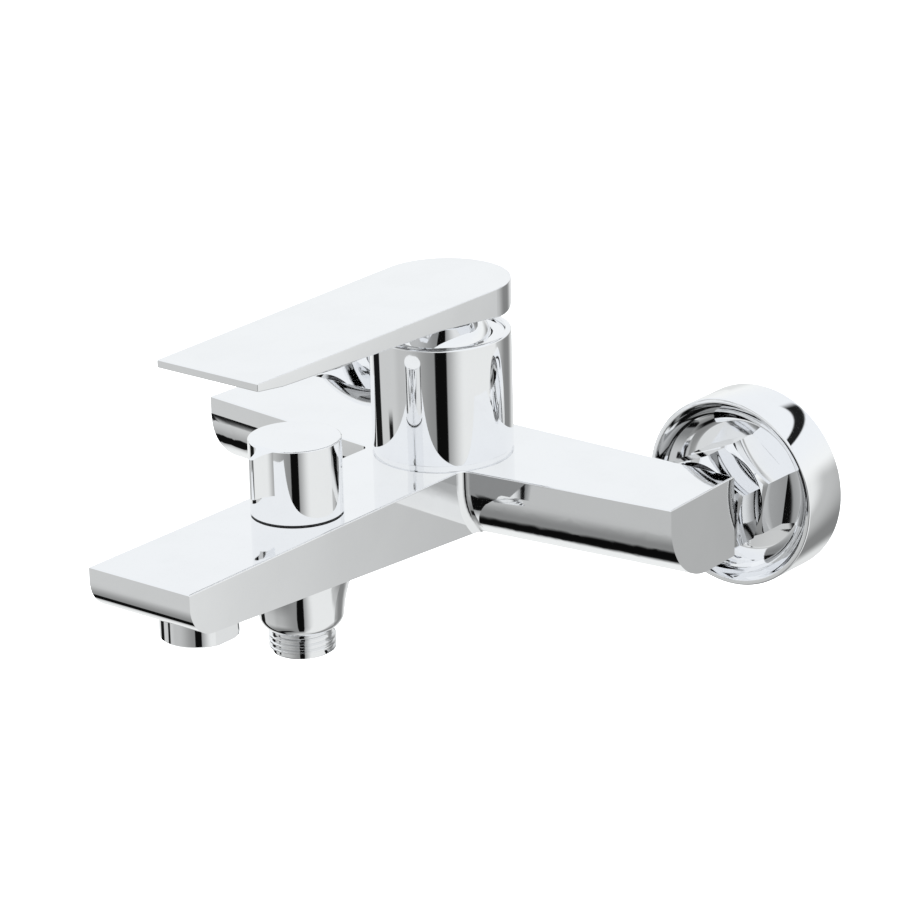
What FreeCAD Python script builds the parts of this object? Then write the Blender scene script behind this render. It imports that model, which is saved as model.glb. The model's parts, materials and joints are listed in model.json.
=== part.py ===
import FreeCAD, Part
import math
import os
import Sketcher
from FreeCAD import Placement, Rotation, Vector

# Wall mounted bath faucet with a single lever and a rotary diverter.
# Frame: the wall is the plane Y = 0, the origin lies midway between the two wall inlets at the
# height of the inlet nuts, the spout points to -Y and +Z is up. All sizes are in millimetres.

SIZES = {
    # overall
    "inlet_spacing": 150.0,      # between the two inlet axes
    "spout_reach": 209.5,        # wall to spout tip
    "column_y": 67.4,            # wall to column axis
    "top_z": 15.0,               # inlet axis to the flat top of the casting
    "back_y": 37.9,              # wall to the back of the crossbar
    # crossbar
    "bar_over": 18.4,            # end corner past the inlet axis, front
    "bar_over_back": 16.6,       # end corner past the inlet axis, back
    "bar_front_end": 73.4,       # wall to the front corner at each end
    "bar_front_mid": 83.7,       # wall to the front edges where they would meet
    "bar_straight": 5.9,         # upright part of the front face
    "bar_curve": 20.3,           # curve from the front face to the underside
    "edge_soft": 0.5,            # softened edges of the casting
    # spout
    "spout_root_half": 18.9,
    "spout_tip_half": 20.0,
    "spout_tip_thick": 14.9,
    "spout_root_thick": 22.2,
    "nose_straight": 4.4,
    "nose_curve": 10.5,
    "root_fillet": 3.0,
    # column
    "chamber_depth": 3.5,        # cartridge chamber floor below the flat top
    "cartridge_r": 17.4,
    "neck_wall": 2.2,
    "sleeve_wall": 2.45,
    "sleeve_gap": 0.2,           # radial, neck to sleeve
    "seat_ring_h": 1.0,
    "sleeve_h": 38.2,
    "cap_recess": 1.1,           # cap ring below the sleeve's rim
    "cap_h": 3.0,
    "cap_skirt": 5.8,
    "snug": 0.1,                 # radial gap of parts that only slip together
    "running": 0.05,             # radial gap of parts that turn in one another
    # lever
    "ball_r": 17.0,
    "ball_gap": 0.3,
    "pivot_drop": 6.0,           # lever pivot below the cap ring's top
    "ball_skirt": 2.0,           # ball shell carried on below the pivot
    "ball_wall": 2.4,
    "lever_reach": 108.5,        # pivot axis to lever tip
    "lever_tip_half": 19.9,
    "lever_rear_r": 21.3,
    "lever_top": 23.1,           # top face above the pivot
    "lever_tip_thick": 2.5,
    "lever_bevel": 11.0,         # length of the bevelled underside at the tip
    "lever_mid_thick": 3.9,
    "lever_hub_thick": 6.4,
    "lever_root_thick": 8.9,
    "lever_rear_thick": 2.9,
    "stem_half": 3.5,
    "socket_r": 6.5,
    "socket_start": 8.0,         # socket boss above the pivot
    "stem_top": 14.3,
    # cartridge
    "base_h": 4.4,
    "disc_h": 4.0,
    "fixed_disc_r": 15.5,
    "moving_disc_r": 10.6,
    "carrier_h": 4.4,
    "disc_shift": 4.6,           # moving disc off the axis at rest
    "housing_plate": 1.8,
    "neck_r": 11.8,
    "rotor_r": 10.7,
    "rotor_flange_h": 3.0,
    "arm_half": 2.0,
    "pin_r": 1.5,
    "port_x": 7.5,               # hot and cold ports, to each side of the axis
    "port_back": 5.0,            # and behind it
    "port_r": 2.9,
    "out_port_fore": 9.0,        # mixed water port, in front of the axis
    "out_port_r": 3.4,
    "peg_x": 12.0,               # locating pegs under the cartridge
    "peg_fore": 5.0,
    "peg_r": 1.5,
    "waterway_back": 11.4,       # cross waterway behind the column axis
    # diverter
    "knob_y": 138.2,             # wall to knob axis
    "knob_r": 14.33,
    "knob_h": 23.45,
    "knob_gap": 0.45,
    "pointer_reach": 20.4,
    "pointer_h": 14.2,
    "valve_bore_r": 10.1,
    "valve_depth": 26.0,         # valve bore below the flat top
    "spindle_r": 4.0,
    "channel_r": 4.5,
    "channel_drop": 10.5,        # waterway axis below the flat top
    # shower outlet
    "boss_r": 13.3,
    "boss_drop": 37.8,           # boss face below the flat top
    "thread_r": 10.48,           # G1/2 male, major radius
    "thread_pitch": 1.814,
    "thread_deep": 0.95,
    "nipple_bore_r": 7.6,
    "outlet_thread_h": 7.5,
    # aerator
    "aerator_y": 184.4,
    "aerator_r": 12.05,
    "aerator_flat": 11.0,        # axis to each spanner flat
    "aerator_drop": 25.0,        # aerator face below the flat top
    "aerator_bore_r": 11.1,
    # wall unions
    "nut_flats": 30.0,           # across flats
    "nut_len": 12.0,
    "nut_start": 33.9,           # wall to the nut's front face
    "nut_tilt": 8.0,
    "tail_r": 10.8,
    "union_r": 13.16,            # G3/4 male, major radius
    "union_bore_r": 8.5,
    "hex_start": 20.2,           # wall to the union hexagon's front face
    "hex_len": 12.3,
    "wall_offset": 7.5,          # eccentric of the wall thread
    "wall_thread_len": 15.0,
    "flange_r": 30.84,
    "flange_h": 17.55,
    "flange_wall": 1.2,
}

doc = FreeCAD.newDocument("bath_faucet")


class Size:
    """A number together with the spreadsheet formula that gives it."""

    def __init__(self, value, text):
        self.value = value
        self.text = text

    def __add__(self, other):
        return Size(self.value + value_of(other), f"({self.text} + {text_of(other)})")

    def __radd__(self, other):
        return self + other

    def __sub__(self, other):
        return Size(self.value - value_of(other), f"({self.text} - {text_of(other)})")

    def __rsub__(self, other):
        return Size(value_of(other) - self.value, f"({text_of(other)} - {self.text})")

    def __mul__(self, other):
        return Size(self.value * value_of(other), f"({self.text} * {text_of(other)})")

    def __rmul__(self, other):
        return self * other

    def __truediv__(self, other):
        return Size(self.value / value_of(other), f"({self.text} / {text_of(other)})")

    def __neg__(self):
        return Size(-self.value, f"(0 - {self.text})")


def value_of(quantity):
    return quantity.value if isinstance(quantity, Size) else float(quantity)


def text_of(quantity):
    return quantity.text if isinstance(quantity, Size) else f"({quantity})"


def root(quantity):
    return Size(math.sqrt(quantity.value), f"sqrt({quantity.text})")


def across(radius, level):
    """Radius of a sphere's section at a level above its centre."""
    return root(radius * radius - level * level)


class Sheet:
    """The driving sizes, one spreadsheet row each, read as attributes."""

    def __init__(self, sizes):
        sheet = doc.addObject("Spreadsheet::Sheet", "Sizes")
        for row, (name, value) in enumerate(sizes.items(), start=1):
            sheet.set(f"A{row}", name)
            sheet.set(f"B{row}", str(value))
            sheet.setAlias(f"B{row}", name)
        doc.recompute()
        self.names = sizes

    def __getattr__(self, name):
        return Size(self.names[name], f"Sizes.{name}")


s = Sheet(SIZES)

ALONG_Z = Rotation()
ALONG_Y = Rotation(Vector(1, 0, 0), -90)
ALONG_MINUS_Y = Rotation(Vector(1, 0, 0), 90)
ALONG_X = Rotation(Vector(0, 1, 0), 90)

nodes = []


def bind(thing, path, quantity):
    """Tie one property to a formula, or set it when the quantity is a plain number."""
    if isinstance(quantity, Size):
        thing.setExpression(path, quantity.text)
    else:
        setattr(thing, path, quantity)


def place(thing, at, turn=ALONG_Z, path="Placement"):
    setattr(thing, path, Placement(Vector(*[value_of(q) for q in at]), turn))
    for axis, quantity in zip("xyz", at):
        if isinstance(quantity, Size):
            thing.setExpression(f"{path}.Base.{axis}", quantity.text)


def new_body(name, at=(0, 0, 0), turn=ALONG_Z):
    body = doc.addObject("PartDesign::Body", name)
    body.Label = name
    place(body, at, turn)
    nodes.append(body)
    return body


def sketch_on(body, role, offset=0):
    """A sketch on one of the body's own planes, moved along the plane's normal."""
    sketch = body.newObject("Sketcher::SketchObject", "outline")
    plane = [f for f in body.Origin.OriginFeatures if f.Role == role][0]
    sketch.AttachmentSupport = (plane, [""])
    sketch.MapMode = "FlatFace"
    place(sketch, (0, 0, offset), path="AttachmentOffset")
    return sketch


def pin_point(sketch, element, end, x, y):
    """Fix one end of an element at a place given by formulas."""
    for kind, quantity, axis in (("DistanceX", x, -2), ("DistanceY", y, -1)):
        if isinstance(quantity, Size):
            index = sketch.addConstraint(Sketcher.Constraint(kind, element, end, quantity.value))
            sketch.setExpression(f"Constraints[{index}]", quantity.text)
        elif quantity == 0:
            sketch.addConstraint(Sketcher.Constraint("PointOnObject", element, end, axis))
        else:
            sketch.addConstraint(Sketcher.Constraint(kind, element, end, float(quantity)))


def arc_between(start, end, radius):
    """Minor arc from start to end; a positive radius runs counter-clockwise."""
    middle = (start + end) * 0.5
    chord = end - start
    rise = math.sqrt(radius * radius - chord.Length * chord.Length / 4)
    side = Vector(-chord.y, chord.x, 0).normalize() * math.copysign(rise, radius)
    centre = middle + side
    circle = Part.Circle(centre, Vector(0, 0, 1), abs(radius))
    first, last = (start, end) if radius > 0 else (end, start)
    return Part.ArcOfCircle(circle, circle.parameter(first), circle.parameter(last))


def outline(sketch, corners):
    """Close an outline. A corner is (x, y), or (x, y, radius) where an arc leaves it."""
    base = sketch.GeometryCount
    count = len(corners)
    spots = [Vector(value_of(c[0]), value_of(c[1]), 0) for c in corners]
    ends = []
    for i, corner in enumerate(corners):
        start, end = spots[i], spots[(i + 1) % count]
        if len(corner) == 3:
            sketch.addGeometry(arc_between(start, end, value_of(corner[2])))
            ends.append((1, 2) if value_of(corner[2]) > 0 else (2, 1))
        else:
            sketch.addGeometry(Part.LineSegment(start, end))
            ends.append((1, 2))
    for i, corner in enumerate(corners):
        follower = (i + 1) % count
        sketch.addConstraint(Sketcher.Constraint(
            "Coincident", base + i, ends[i][1], base + follower, ends[follower][0]))
        pin_point(sketch, base + i, ends[i][0], corner[0], corner[1])
        if len(corner) == 3:
            size = abs(value_of(corner[2]))
            index = sketch.addConstraint(Sketcher.Constraint("Radius", base + i, size))
            if isinstance(corner[2], Size):
                sign = "" if corner[2].value > 0 else "0 - "
                sketch.setExpression(f"Constraints[{index}]", sign + corner[2].text)


def revolve(body, corners, kind="Revolution", offset=0):
    """Turn an outline of (radius, height) corners about the upright axis of its sketch."""
    sketch = sketch_on(body, "XZ_Plane", offset)
    outline(sketch, corners)
    turned_feature = body.newObject(f"PartDesign::{kind}", kind.lower())
    turned_feature.Profile = sketch
    turned_feature.ReferenceAxis = (sketch, ["V_Axis"])
    turned_feature.Angle = 360
    return turned_feature


def pad(body, sketch, length, both_ways=False):
    feature = body.newObject("PartDesign::Pad", "pad")
    feature.Profile = sketch
    bind(feature, "Length", length)
    feature.Midplane = both_ways
    return feature


def cut_through(body, sketch):
    feature = body.newObject("PartDesign::Pocket", "pocket")
    feature.Profile = sketch
    feature.Type = "ThroughAll"
    feature.Midplane = True
    return feature


def rod(body, radius, at, length, turn=ALONG_Z, kind="Subtractive"):
    feature = body.newObject(f"PartDesign::{kind}Cylinder", "rod")
    bind(feature, "Radius", radius)
    bind(feature, "Height", length)
    place(feature, at, turn)
    return feature


def block(body, at, length, width, height, kind="Subtractive"):
    """A box with its lowest corner at the place given."""
    feature = body.newObject(f"PartDesign::{kind}Box", "block")
    bind(feature, "Length", length)
    bind(feature, "Width", width)
    bind(feature, "Height", height)
    place(feature, at)
    return feature


def hexagon(body, flats, length, at=(0, 0, 0), turn=ALONG_Z, kind="Additive"):
    feature = body.newObject(f"PartDesign::{kind}Prism", "hexagon")
    feature.Polygon = 6
    bind(feature, "Circumradius", flats / math.sqrt(3))
    bind(feature, "Height", length)
    place(feature, at, turn)
    return feature


def soften(body, test, radius, kind="Fillet"):
    """Round or chamfer the edges of the body's last feature that pass the test."""
    doc.recompute()
    base = body.Tip
    names = [f"Edge{i}" for i, edge in enumerate(base.Shape.Edges, start=1) if test(edge)]
    feature = body.newObject(f"PartDesign::{kind}", kind.lower())
    feature.Base = (base, names)
    bind(feature, "Radius" if kind == "Fillet" else "Size", radius)
    return feature


def turned(name, corners, at=(0, 0, 0), turn=ALONG_Z):
    body = new_body(name, at, turn)
    revolve(body, corners)
    return body


def ring(name, inner, outer, height, at=(0, 0, 0), turn=ALONG_Z):
    return turned(name, [(inner, 0), (outer, 0), (outer, height), (inner, height)], at, turn)


def o_ring(name, centre_radius, thick_radius, at=(0, 0, 0), turn=ALONG_Z):
    torus = doc.addObject("Part::Torus", name)
    torus.Label = name
    bind(torus, "Radius1", centre_radius)
    bind(torus, "Radius2", thick_radius)
    place(torus, at, turn)
    nodes.append(torus)
    return torus


def thread_ridges(start, count):
    """Zigzag outline corners of the half-inch male thread, climbing along its axis."""
    corners = []
    for turn in range(count):
        low = start + s.thread_pitch * turn
        corners.append((thread_root, low + s.thread_pitch * 0.08))
        corners.append((s.thread_r, low + s.thread_pitch * 0.42))
        corners.append((s.thread_r, low + s.thread_pitch * 0.58))
        corners.append((thread_root, low + s.thread_pitch * 0.92))
    return corners


# Places that several pieces share.
inlet_x = s.inlet_spacing / 2
bar_half = inlet_x + s.bar_over
bar_half_back = inlet_x + s.bar_over_back
bar_slope = (s.bar_front_mid - s.bar_front_end) / bar_half
bottom_z = s.top_z - s.bar_straight - s.bar_curve
channel_z = s.top_z - s.channel_drop
floor_z = s.top_z - s.chamber_depth
neck_bore = s.cartridge_r + s.sleeve_gap
neck_outer = neck_bore + s.neck_wall
sleeve_inner = neck_outer + s.sleeve_gap
sleeve_outer = sleeve_inner + s.sleeve_wall
sleeve_z = s.top_z + s.seat_ring_h
cap_top = sleeve_z + s.sleeve_h - s.cap_recess
neck_top = cap_top - s.cap_h
cap_thread_r = neck_outer - 1.1
cap_r = sleeve_outer - 2.1
pivot_z = cap_top - s.pivot_drop
boss_z = s.top_z - s.boss_drop
aerator_z = s.top_z - s.aerator_drop
valve_floor_z = s.top_z - s.valve_depth
thread_root = s.thread_r - s.thread_deep
ledge_z = neck_top - s.cap_skirt - 0.4


def front_y(x):
    """Front edge of the crossbar at a distance from the middle."""
    return -(s.bar_front_mid - bar_slope * x)


def under_z(y):
    """Underside of the spout at a distance from the wall."""
    slope = (s.spout_root_thick - s.spout_tip_thick) / (s.spout_reach - s.nose_curve - s.bar_front_mid)
    return s.top_z - s.spout_root_thick + slope * (y - s.bar_front_mid)


def faucet_body():
    """The casting: crossbar, spout, neck for the cartridge, outlet boss and all waterways."""
    body = new_body("faucet_body")
    profile = sketch_on(body, "YZ_Plane")
    spout_back = s.back_y + 20
    outline(profile, [
        (-spout_back, s.top_z),
        (-s.spout_reach, s.top_z),
        (-s.spout_reach, s.top_z - s.nose_straight, s.nose_curve),
        (s.nose_curve - s.spout_reach, s.top_z - s.nose_straight - s.nose_curve),
        (-spout_back, under_z(spout_back)),
    ])
    pad(body, profile, 2 * (s.spout_tip_half + 3), both_ways=True)
    flanks = sketch_on(body, "XY_Plane")
    wide = s.spout_tip_half + 6
    for side in (1, -1):
        outline(flanks, [
            (side * s.spout_tip_half, -(s.spout_reach + 1)),
            (side * s.spout_root_half, -(spout_back - 1)),
            (side * wide, -(spout_back - 1)),
            (side * wide, -(s.spout_reach + 1)),
        ])
    cut_through(body, flanks)

    past_end = bar_half + 2
    for side in (1, -1):
        sketch = sketch_on(body, "YZ_Plane")
        outline(sketch, [
            (30 - s.back_y, s.top_z),
            (-s.bar_front_mid, s.top_z),
            (-s.bar_front_mid, s.top_z - s.bar_straight, s.bar_curve),
            (s.bar_curve - s.bar_front_mid, bottom_z),
            (30 - s.back_y, bottom_z),
        ])
        arm = pad(body, sketch, past_end + 12)
        arm.UseCustomVector = True
        arm.AlongSketchNormal = True
        arm.Direction = Vector(side, 0, 0)
        bind(arm, "Direction.x", side * bar_half)
        bind(arm, "Direction.y", s.bar_front_mid - s.bar_front_end)
    back = sketch_on(body, "XY_Plane")
    outline(back, [
        (-(past_end + 30), -s.back_y),
        (past_end + 30, -s.back_y),
        (past_end + 30, 40),
        (-(past_end + 30), 40),
    ])
    cut_through(body, back)

    ends = sketch_on(body, "XY_Plane")
    skew = (bar_half - bar_half_back) / (s.bar_front_end - s.back_y)
    for side in (1, -1):
        outline(ends, [
            (side * (bar_half + skew * 6), -(s.bar_front_end + 6)),
            (side * (bar_half_back - skew * 6), -(s.back_y - 6)),
            (side * (past_end + 20), -(s.back_y - 6)),
            (side * (past_end + 20), -(s.bar_front_end + 6)),
        ])
    cut_through(body, ends)

    soften(body, is_root, s.root_fillet)

    revolve(body, [
        (0, s.top_z - 4),
        (neck_outer, s.top_z - 4),
        (neck_outer, ledge_z),
        (cap_thread_r, ledge_z),
        (cap_thread_r, neck_top),
        (0, neck_top),
    ], offset=s.column_y)
    revolve(body, [
        (0, s.top_z - 12),
        (s.boss_r + 3.9, s.top_z - 12),
        (s.boss_r + 3.7, under_z(s.knob_y), 42),
        (s.boss_r, boss_z + 5, -5.2),
        (s.boss_r - 4.4, boss_z),
        (0, boss_z),
    ], offset=s.knob_y)

    # cartridge chamber with its floor ports, and the groove of the sleeve's ring
    rod(body, neck_bore, (0, -s.column_y, floor_z), neck_top)
    revolve(body, [
        (neck_outer - 1.2, s.top_z + 4),
        (neck_outer + 1, s.top_z + 4),
        (neck_outer + 1, s.top_z + 6),
        (neck_outer - 1.2, s.top_z + 6),
    ], kind="Groove", offset=s.column_y)
    for side in (1, -1):
        rod(body, s.port_r + 0.1, (side * s.port_x, s.port_back - s.column_y, 0), floor_z + 1)
        rod(body, s.peg_r + 0.1, (side * s.peg_x, -s.peg_fore - s.column_y, floor_z - 2), 3.0)
    rod(body, s.out_port_r + 0.1, (0, -s.out_port_fore - s.column_y, channel_z), floor_z)

    # inlets: a threaded socket at each end and a waterway to the cartridge
    waterway_y = s.column_y - s.waterway_back
    for side in (1, -1):
        rod(body, 9.5, (side * inlet_x, -s.back_y - 14, 0), 16.0, ALONG_Y)
        rod(body, 6.5, (side * inlet_x, -waterway_y, 0), 16.0, ALONG_Y)
    for start in (5.0, -inlet_x):
        rod(body, 5.5, (start, -waterway_y, 0), inlet_x - 5, ALONG_X)

    # outlets: waterway, diverter bore, shower socket and aerator socket
    rod(body, s.channel_r, (0, -s.knob_y + 8, channel_z), s.knob_y - s.column_y - 15, ALONG_Y)
    rod(body, s.channel_r, (0, -s.aerator_y, channel_z), s.aerator_y - s.knob_y - 8, ALONG_Y)
    rod(body, s.valve_bore_r, (0, -s.knob_y, valve_floor_z), s.valve_depth + 1)
    rod(body, 7.0, (0, -s.knob_y, valve_floor_z - 4), 6.0)
    rod(body, 9.6, (0, -s.knob_y, boss_z - 1), valve_floor_z - boss_z - 1)
    rod(body, s.aerator_bore_r, (0, -s.aerator_y, -4), channel_z + 8)
    rod(body, s.aerator_r + 0.2, (0, -s.aerator_y, -6), under_z(s.aerator_y) + 7.5)

    soften(body, is_rim, s.edge_soft)


def is_root(edge):
    """Inner corners where the spout's sides run into the crossbar's curved front."""
    half = s.spout_root_half.value
    meets = [abs(abs(v.X) - half) < 0.4 and v.Y < -s.back_y.value - 21 for v in edge.Vertexes]
    steep = abs(edge.Vertexes[0].Z - edge.Vertexes[-1].Z) > 3
    return all(meets) and steep


def is_rim(edge):
    """Outer edges of the flat top, the rounded inner corners included."""
    flat_top = all(abs(v.Z - s.top_z.value) < 1e-4 for v in edge.Vertexes)
    straight = edge.Curve.TypeId == "Part::GeomLine"
    in_corner = abs(abs(edge.CenterOfMass.x) - s.spout_root_half.value) < s.root_fillet.value
    return flat_top and edge.Length > s.root_fillet.value and (straight or in_corner)


def column_pieces():
    """Seat ring, decorative sleeve, its rubber ring and the cap ring round the ball."""
    axis = (0, -s.column_y)
    ring("column_seat_ring", neck_outer + s.snug, sleeve_outer - 0.55, s.seat_ring_h, (*axis, s.top_z))
    sleeve_top = s.sleeve_h
    ledge = neck_top - sleeve_z
    body = turned("column_sleeve", [
        (sleeve_inner, 0),
        (sleeve_outer, 0),
        (sleeve_outer, sleeve_top),
        (cap_r + s.snug, sleeve_top),
        (cap_r + s.snug, ledge),
        (sleeve_inner, ledge),
    ], (*axis, sleeve_z))
    soften(body, lambda e: abs(e.CenterOfMass.z - sleeve_top.value) < 0.01
           and e.Length > 2 * math.pi * (sleeve_outer.value - 0.1), 0.8)
    o_ring("sleeve_o_ring", neck_outer - 0.44, 0.6, (*axis, s.top_z + 5))

    hole_top = across(s.ball_r + s.ball_gap, s.pivot_drop)
    hole_low = across(s.ball_r + s.ball_gap, s.pivot_drop - s.cap_h)
    turned("column_cap_ring", [
        (hole_low, 0),
        (cap_thread_r + s.snug, 0),
        (cap_thread_r + s.snug, -s.cap_skirt),
        (neck_outer - 0.02, -s.cap_skirt),
        (neck_outer - 0.02, 0),
        (cap_r, 0),
        (cap_r, s.cap_h - 0.25),
        (cap_r - 0.25, s.cap_h),
        (hole_top, s.cap_h),
    ], (*axis, neck_top))


# Levels inside the cartridge, measured from the chamber floor.
disc_low = s.base_h
disc_mid = disc_low + s.disc_h
carrier_low = disc_mid + s.disc_h + s.running
carrier_top = carrier_low + s.carrier_h
flange_low = carrier_top + 0.2
plate_low = flange_low + s.rotor_flange_h + 0.2
shoulder = plate_low + s.housing_plate
collar_top = pivot_z - floor_z - 9.4
housing_top = pivot_z - floor_z + 3.2
housing_inner = s.cartridge_r - 1.8
slot_x = s.stem_half + 0.2


def cartridge_pieces():
    """Ceramic mixing cartridge: fixed pieces, then those that turn and slide with the lever."""
    seat = (0, -s.column_y, floor_z)
    base = turned("cartridge_base", [
        (0, 0),
        (s.cartridge_r, 0),
        (s.cartridge_r, disc_low - 0.02),
        (0, disc_low - 0.02),
    ], seat)
    fixed = turned("cartridge_fixed_disc", [
        (0, disc_low),
        (s.fixed_disc_r, disc_low),
        (s.fixed_disc_r, disc_mid),
        (0, disc_mid),
    ], seat)
    ports = (
        (s.port_x, s.port_back, s.port_r),
        (-s.port_x, s.port_back, s.port_r),
        (0, -s.out_port_fore, s.out_port_r),
    )
    for side in (1, -1):
        rod(base, s.peg_r, (side * s.peg_x, -s.peg_fore, -1.8), 2.8, kind="Additive")

    seals = []
    seal_thick = 0.6
    for x, y, bore in ports:
        for piece in (base, fixed):
            rod(piece, bore, (x, y, -1), disc_mid + 2)
        rod(base, bore + 1.7, (x, y, disc_low - 2 * seal_thick - 0.05), 2.0)
        seal = doc.addObject("Part::Torus", "port_seal")
        bind(seal, "Radius1", bore + 1.0)
        seal.Radius2 = seal_thick
        place(seal, (x, y - s.column_y, floor_z + disc_low - seal_thick - 0.02))
        seals.append(seal)
    pack_of = doc.addObject("Part::Compound", "cartridge_port_seals")
    pack_of.Label = "cartridge_port_seals"
    pack_of.Links = seals
    nodes.append(pack_of)

    turned("cartridge_housing", [
        (housing_inner, disc_low),
        (s.cartridge_r, disc_low),
        (s.cartridge_r, shoulder),
        (14.3, shoulder),
        (14.3, collar_top),
        (s.neck_r, collar_top),
        (s.neck_r, housing_top),
        (s.rotor_r + s.running, housing_top),
        (s.rotor_r + s.running, plate_low),
        (housing_inner, plate_low),
    ], seat)
    nut = ring("cartridge_lock_nut", 14.3 + s.snug, neck_bore - 0.03, collar_top - shoulder - 0.6,
               (0, -s.column_y, floor_z + shoulder + 0.02))
    for index in range(4):
        angle = math.pi * (index / 2 + 0.25)
        at = (16.0 * math.cos(angle), 16.0 * math.sin(angle), collar_top - shoulder - 2.2)
        rod(nut, 1.0, at, 3.0)

    moving = turned("cartridge_moving_disc", [
        (0, disc_mid + s.running),
        (s.moving_disc_r, disc_mid + s.running),
        (s.moving_disc_r, carrier_low),
        (0, carrier_low),
    ], (0, s.disc_shift - s.column_y, floor_z))
    block(moving, (-7, -6, disc_mid - 1), 14, 8.0, s.disc_h / 2 + 1)
    carrier = turned("cartridge_disc_carrier", [
        (0, carrier_low),
        (s.moving_disc_r + 0.2, carrier_low),
        (s.moving_disc_r + 0.2, carrier_top),
        (0, carrier_top),
    ], (0, s.disc_shift - s.column_y, floor_z))
    block(carrier, (-slot_x, -2.75 - s.disc_shift, carrier_low + 0.3), 2 * slot_x, 5.5, s.carrier_h)

    rotor = turned("cartridge_rotor", [
        (0, flange_low),
        (housing_inner - 0.7, flange_low),
        (housing_inner - 0.7, flange_low + s.rotor_flange_h),
        (s.rotor_r, flange_low + s.rotor_flange_h),
        (s.rotor_r, housing_top - 0.5),
        (0, housing_top - 0.5),
    ], seat)
    block(rotor, (-slot_x, -9.7, flange_low + s.rotor_flange_h), 2 * slot_x, 15.1, housing_top)
    block(rotor, (-slot_x, -12.2, flange_low - 1), 2 * slot_x, 16.4, s.rotor_flange_h + 2)
    pivot = (0, -s.column_y, pivot_z)
    rod(rotor, s.pin_r, (-20, 0, pivot_z - floor_z), 40, ALONG_X)
    pin = new_body("cartridge_pivot_pin", pivot)
    rod(pin, s.pin_r - 0.01, (-(s.rotor_r - 0.4), 0, 0), 2 * (s.rotor_r - 0.4), ALONG_X, "Additive")
    o_ring("rotor_o_ring", s.rotor_r - 0.45, 0.42, (0, -s.column_y, floor_z + shoulder + 8))
    revolve(rotor, [
        (s.rotor_r - 0.9, shoulder + 7.5),
        (s.rotor_r + 1, shoulder + 7.5),
        (s.rotor_r + 1, shoulder + 8.5),
        (s.rotor_r - 0.9, shoulder + 8.5),
    ], kind="Groove")

    stem = new_body("cartridge_stem", pivot)
    arm_low = floor_z + carrier_low + 0.6 - pivot_z
    block(stem, (-s.stem_half, -s.arm_half, arm_low), 2 * s.stem_half, 2 * s.arm_half,
          4.0 - arm_low, "Additive")
    rod(stem, 3.3, (-s.stem_half, 0, 0), 2 * s.stem_half, ALONG_X, "Additive")
    block(stem, (-s.stem_half, -s.stem_half, 3.6), 2 * s.stem_half, 2 * s.stem_half,
          s.stem_top - 3.6, "Additive")
    rod(stem, s.pin_r + s.running, (-20, 0, 0), 40, ALONG_X)


def lever_pieces():
    """Paddle lever on a hollow ball that turns and tilts in the cap ring."""
    lever = new_body("lever_handle", (0, -s.column_y, pivot_z))
    plan = sketch_on(lever, "XY_Plane", s.lever_top - 16)
    start = s.lever_rear_r * 0.1
    outline(plan, [
        (-s.lever_rear_r, start),
        (-s.lever_tip_half, -s.lever_reach),
        (s.lever_tip_half, -s.lever_reach),
        (s.lever_rear_r, start, s.lever_rear_r),
        (0, start + s.lever_rear_r, s.lever_rear_r),
    ])
    pad(lever, plan, 16)
    side = sketch_on(lever, "YZ_Plane")
    top = s.lever_top
    outline(side, [
        (-s.lever_reach - 1, top - s.lever_tip_thick + 0.12),
        (s.lever_bevel - s.lever_reach, top - s.lever_mid_thick),
        (-25, top - s.lever_hub_thick),
        (0, top - s.lever_root_thick, 30),
        (s.lever_rear_r + start + 1, top - s.lever_rear_thick),
        (s.lever_rear_r + start + 1, 0),
        (-s.lever_reach - 1, 0),
    ])
    cut_through(lever, side)
    under = -s.ball_skirt
    crown = top - s.lever_root_thick + 2
    revolve(lever, [
        (0, under),
        (across(s.ball_r, s.ball_skirt), under, s.ball_r),
        (across(s.ball_r, crown), crown),
        (0, crown),
    ])
    shell = s.ball_r - s.ball_wall
    ceiling = across(shell, s.socket_r)
    revolve(lever, [
        (0, under - 1),
        (across(shell, s.ball_skirt + 1), under - 1, shell),
        (s.socket_r, ceiling),
        (s.socket_r, s.socket_start),
        (0, s.socket_start),
    ], kind="Groove")
    fit = s.stem_half + 0.05
    block(lever, (-fit, -fit, s.socket_start - 1), 2 * fit, 2 * fit, s.stem_top + 1.4 - s.socket_start)
    screw_z = s.socket_start + 3
    rod(lever, 2.5, (0, -1, screw_z), 20, ALONG_MINUS_Y)
    seat_turn = ALONG_MINUS_Y * Rotation(Vector(0, 0, 1), 40)
    rod(lever, 3.2, (0, 2 - across(s.ball_r, screw_z), screw_z), 5, seat_turn)
    screw_long = across(s.ball_r, screw_z) - 2.1 - s.stem_half
    at = (0, -s.column_y, pivot_z + screw_z)
    screw = turned("lever_set_screw", [
        (0, s.stem_half + 0.01),
        (2.45, s.stem_half + 0.01),
        (2.45, s.stem_half + screw_long),
        (0, s.stem_half + screw_long),
    ], at, ALONG_MINUS_Y)
    hexagon(screw, 2.5, 3, (0, 0, s.stem_half + screw_long - 2), kind="Subtractive")
    plug_start = s.stem_half + screw_long
    turned("lever_index_plug", [
        (0, plug_start + 0.2),
        (3.15, plug_start + 0.2),
        (3.15, plug_start + 1.8),
        (2.9, plug_start + 2.05),
        (0, plug_start + 2.05),
    ], at, ALONG_MINUS_Y)


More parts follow.
